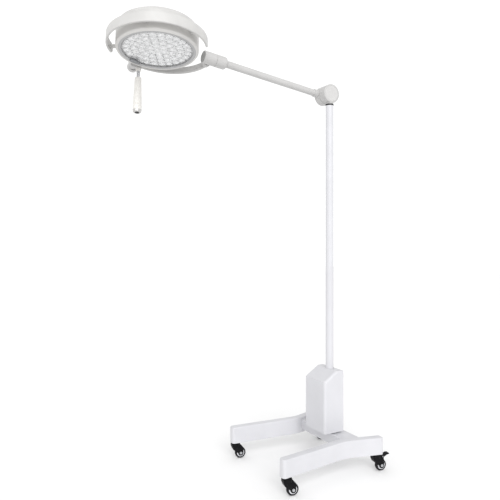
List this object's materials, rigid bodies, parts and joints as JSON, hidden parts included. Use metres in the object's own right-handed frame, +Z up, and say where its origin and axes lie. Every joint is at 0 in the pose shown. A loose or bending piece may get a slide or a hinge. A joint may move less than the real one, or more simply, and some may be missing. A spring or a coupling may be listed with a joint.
{
  "type": "mobile examination lamp",
  "caption": "Wheeled examination lamp: round LED head on a curved yoke, tilting arm on a friction drum, tall pole and H-shaped castor base with supply box.",
  "frame": {"origin": "on the floor, on the axis of the pole", "axes": "+Z up along the pole, -Y towards the head along the arm, +X to the lamp's right"},
  "size_m": [0.4871, 1.1708, 1.8774],
  "materials": {
    "base_paint": "semi-gloss powder coat",
    "arm_paint": "semi-gloss powder coat",
    "head_paint": "satin moulded polymer",
    "lug_paint": "semi-gloss powder coat",
    "screw_steel": "zinc plated",
    "supply_case": "perforated sheet",
    "black_plastic": "fine matt grain",
    "brass_nickel": "turned",
    "zinc_steel": "zinc plated",
    "castor_black": "moulded nylon",
    "core_nylon": "moulded nylon",
    "tread_rubber": "smooth tread",
    "cap_plastic": "satin",
    "washer_fibre": "friction fibre",
    "bezel_plastic": "satin",
    "window_clear": "clear, hard coated",
    "board_white": "white solder mask",
    "lens_clear": "moulded optic",
    "sink_metal": "extruded",
    "keypad_film": "membrane",
    "handle_steel": "polished",
    "grip_plastic": "autoclavable polymer",
    "end_metal": "turned"
  },
  "bodies": {
    "base": {"leg_left": "base_paint", "leg_right": "base_paint", "leg_plates": "base_paint", "crossbar": "base_paint", "pole_flange": "base_paint", "pole": "base_paint", "box_cover": "base_paint", "box_back": "base_paint", "cover_screws": "screw_steel", "power_supply": "supply_case", "mains_inlet": "black_plastic", "bonding_pin": "brass_nickel", "castor_stems": "castor_black", "pole_bushing": "black_plastic"},
    "castor_left_front": {"castor_fork_left_front": "castor_black", "castor_axle_left_front": "zinc_steel"},
    "wheel_left_front": {"wheel_core_left_front": "core_nylon", "wheel_tyre_left_front": "tread_rubber"},
    "castor_right_front": {"castor_fork_right_front": "castor_black", "castor_axle_right_front": "zinc_steel"},
    "wheel_right_front": {"wheel_core_right_front": "core_nylon", "wheel_tyre_right_front": "tread_rubber"},
    "castor_left_rear": {"castor_fork_left_rear": "castor_black", "castor_axle_left_rear": "zinc_steel"},
    "wheel_left_rear": {"wheel_core_left_rear": "core_nylon", "wheel_tyre_left_rear": "tread_rubber"},
    "castor_right_rear": {"castor_fork_right_rear": "castor_black", "castor_axle_right_rear": "zinc_steel"},
    "wheel_right_rear": {"wheel_core_right_rear": "core_nylon", "wheel_tyre_right_rear": "tread_rubber"},
    "brake_left_rear": {"brake_pedal_left_rear": "castor_black"},
    "brake_right_rear": {"brake_pedal_right_rear": "castor_black"},
    "column_head": {"swivel_spindle": "zinc_steel", "pole_head": "arm_paint", "drum_cap": "cap_plastic", "friction_washer": "washer_fibre", "tilt_bolt": "zinc_steel"},
    "arm": {"arm_hub": "arm_paint", "arm_tube": "arm_paint", "arm_collar": "arm_paint"},
    "yoke": {"yoke_knuckle": "arm_paint", "yoke": "arm_paint", "boss_cap": "cap_plastic"},
    "head": {"head_shell": "head_paint", "head_cover": "head_paint", "bezel": "bezel_plastic", "window": "window_clear", "led_board": "board_white", "lens_array": "lens_clear", "heat_sink": "sink_metal", "hand_rail": "head_paint", "rail_posts": "head_paint", "pivot_block": "lug_paint", "pivot_pin": "zinc_steel", "keypad": "keypad_film", "handle_cap": "cap_plastic", "handle_shaft": "handle_steel", "handle_grip": "grip_plastic", "handle_end": "end_metal"},
    "button": {"handle_button": "black_plastic"}
  },
  "joints": [
    {"name": "castor_swivel_left_front", "type": "hinge", "parent": "base", "child": "castor_left_front", "pos_m": [-0.214, -0.38, 0.071], "axis": [0, 0, 1], "continuous": true},
    {"name": "wheel_spin_left_front", "type": "hinge", "parent": "castor_left_front", "child": "wheel_left_front", "pos_m": [-0.20943, -0.35848, 0.025], "axis": [-0.9781, 0.2079, 0], "continuous": true},
    {"name": "castor_swivel_right_front", "type": "hinge", "parent": "base", "child": "castor_right_front", "pos_m": [0.214, -0.38, 0.071], "axis": [0, 0, 1], "continuous": true},
    {"name": "wheel_spin_right_front", "type": "hinge", "parent": "castor_right_front", "child": "wheel_right_front", "pos_m": [0.21857, -0.35848, 0.025], "axis": [-0.9781, 0.2079, 0], "continuous": true},
    {"name": "castor_swivel_left_rear", "type": "hinge", "parent": "base", "child": "castor_left_rear", "pos_m": [-0.214, 0.087, 0.071], "axis": [0, 0, 1], "continuous": true},
    {"name": "wheel_spin_left_rear", "type": "hinge", "parent": "castor_left_rear", "child": "wheel_left_rear", "pos_m": [-0.20943, 0.10852, 0.025], "axis": [-0.9781, 0.2079, 0], "continuous": true},
    {"name": "castor_swivel_right_rear", "type": "hinge", "parent": "base", "child": "castor_right_rear", "pos_m": [0.214, 0.087, 0.071], "axis": [0, 0, 1], "continuous": true},
    {"name": "wheel_spin_right_rear", "type": "hinge", "parent": "castor_right_rear", "child": "wheel_right_rear", "pos_m": [0.21857, 0.10852, 0.025], "axis": [-0.9781, 0.2079, 0], "continuous": true},
    {"name": "brake_press_left_rear", "type": "hinge", "parent": "castor_left_rear", "child": "brake_left_rear", "pos_m": [-0.20849, 0.11292, 0.0635], "axis": [-0.9781, 0.2079, 0], "range_deg": [0, 15]},
    {"name": "brake_press_right_rear", "type": "hinge", "parent": "castor_right_rear", "child": "brake_right_rear", "pos_m": [0.21951, 0.11292, 0.0635], "axis": [-0.9781, 0.2079, 0], "range_deg": [0, 15]},
    {"name": "pole_swivel", "type": "hinge", "parent": "base", "child": "column_head", "pos_m": [0, 0, 1.633], "axis": [0, 0, 1], "range_deg": [-135, 135]},
    {"name": "arm_tilt", "type": "hinge", "parent": "column_head", "child": "arm", "pos_m": [-0.041, 0, 1.687], "axis": [1, 0, 0], "range_deg": [-45, 60]},
    {"name": "yoke_roll", "type": "hinge", "parent": "arm", "child": "yoke", "pos_m": [-0.041, -0.57073, 1.76092], "axis": [0, -0.9917, 0.1284], "range_deg": [-160, 160]},
    {"name": "head_tilt", "type": "hinge", "parent": "yoke", "child": "head", "pos_m": [-0.23645, -0.86201, 1.74251], "axis": [0.9916, 0.0166, 0.1279], "range_deg": [-120, 60]},
    {"name": "button_press", "type": "slide", "parent": "head", "child": "button", "axis": [-0.1288, 0.0718, 0.9891], "range_m": [0, 0.002], "stiffness_N_per_m": 400, "springref_m": -0.0005}
  ]
}
